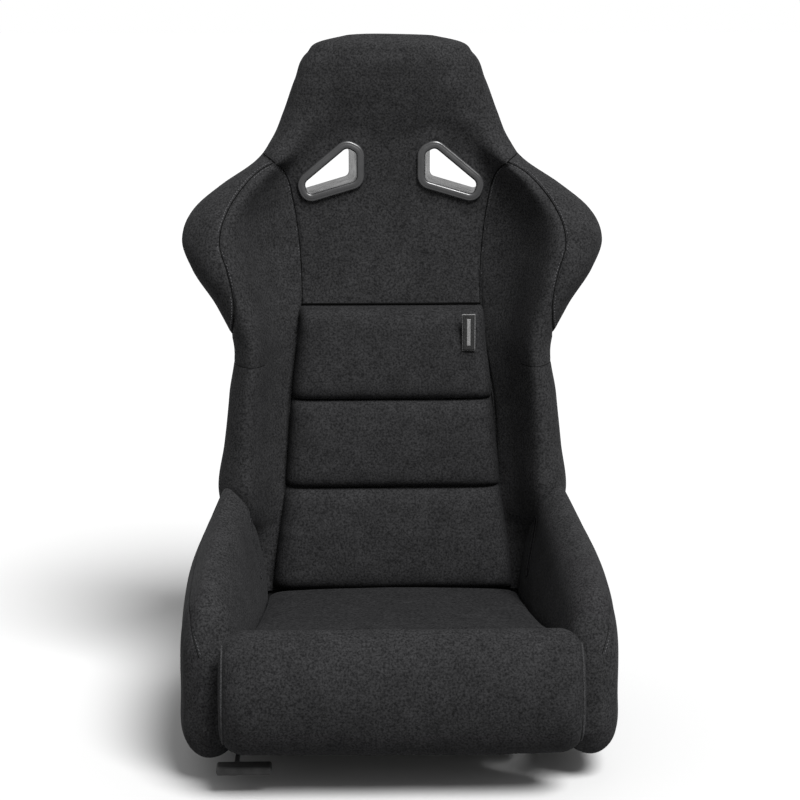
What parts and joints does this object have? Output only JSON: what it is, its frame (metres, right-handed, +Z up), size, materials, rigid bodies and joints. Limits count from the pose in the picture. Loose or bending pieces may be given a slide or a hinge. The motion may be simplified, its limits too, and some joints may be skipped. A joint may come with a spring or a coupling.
{
  "type": "racing seat",
  "caption": "Fixed-back bucket racing seat in dark fabric with harness slots, belt slots, a lumbar cushion and sliding floor rails.",
  "frame": {"origin": "on the floor plane under the floor rails, at the middle of the bounding box in X and Y", "axes": "+Z up, the sitter faces -Y, +X is the sitter's left"},
  "size_m": [0.5736, 0.627, 0.909],
  "materials": {
    "powder_coated_steel": "satin",
    "spring_steel": "satin",
    "zinc_steel": "satin",
    "rail_steel": "satin",
    "black_steel": "satin",
    "black_plastic": "matte",
    "nylon": "matte",
    "webbing": "matte",
    "tape": "matte",
    "tag": "matte",
    "foam": "matte",
    "cushion_fabric": "matte",
    "cover_fabric": "matte"
  },
  "bodies": {
    "floor_rails": {"lower_rail_left": "rail_steel", "lower_rail_right": "rail_steel", "latch_rack": "rail_steel", "rail_end_stops": "rail_steel"},
    "seat": {"back_foam": "foam", "back_panel_cover": "cover_fabric", "back_straps": "webbing", "base_foam": "foam", "belt_slot_lining_left": "webbing", "belt_slot_lining_right": "webbing", "bolster_cover_left": "cover_fabric", "bolster_cover_right": "cover_fabric", "bolster_foam_left": "foam", "bolster_foam_right": "foam", "crossbar_front": "powder_coated_steel", "crossbar_rear": "powder_coated_steel", "front_cross_tube": "powder_coated_steel", "glide_pads": "nylon", "harness_bezel_front_left": "black_plastic", "harness_bezel_front_right": "black_plastic", "harness_bezel_rear_left": "black_plastic", "harness_bezel_rear_right": "black_plastic", "harness_cross_tube": "powder_coated_steel", "hip_bow_left": "powder_coated_steel", "hip_bow_right": "powder_coated_steel", "hip_cover_left": "cover_fabric", "hip_cover_right": "cover_fabric", "hip_foam_left": "foam", "hip_foam_right": "foam", "hook_and_loop_strips": "tape", "lever_bracket": "rail_steel", "lever_pin": "zinc_steel", "lower_back_cover": "cover_fabric", "lower_back_foam": "foam", "lumbar_cross_tube": "powder_coated_steel", "lumbar_cushion": "cushion_fabric", "main_hoop": "powder_coated_steel", "rail_bolts": "zinc_steel", "rail_nuts": "zinc_steel", "rear_cover": "cover_fabric", "rear_cross_tube": "powder_coated_steel", "seat_cushion": "cushion_fabric", "shoulder_bow_left": "powder_coated_steel", "shoulder_bow_right": "powder_coated_steel", "shoulder_gusset_left": "cover_fabric", "shoulder_gusset_right": "cover_fabric", "side_tag": "tag", "spring_clips": "spring_steel", "upper_rail_left": "rail_steel", "upper_rail_right": "rail_steel", "zigzag_springs": "spring_steel"},
    "release_lever": {"release_lever": "black_steel", "latch_pawl": "black_steel", "lever_grip": "black_plastic", "lever_return_spring": "spring_steel"}
  },
  "joints": [
    {"name": "seat_slide", "type": "slide", "parent": "floor_rails", "child": "seat", "axis": [0, 1, 0], "range_m": [-0.09, 0.09]},
    {"name": "lever_lift", "type": "hinge", "parent": "seat", "child": "release_lever", "pos_m": [-0.2035, -0.02, 0.029], "axis": [-1, 0, 0], "range_deg": [0, 3.5], "stiffness_Nm_per_rad": 6, "springref_deg": -6.88}
  ]
}
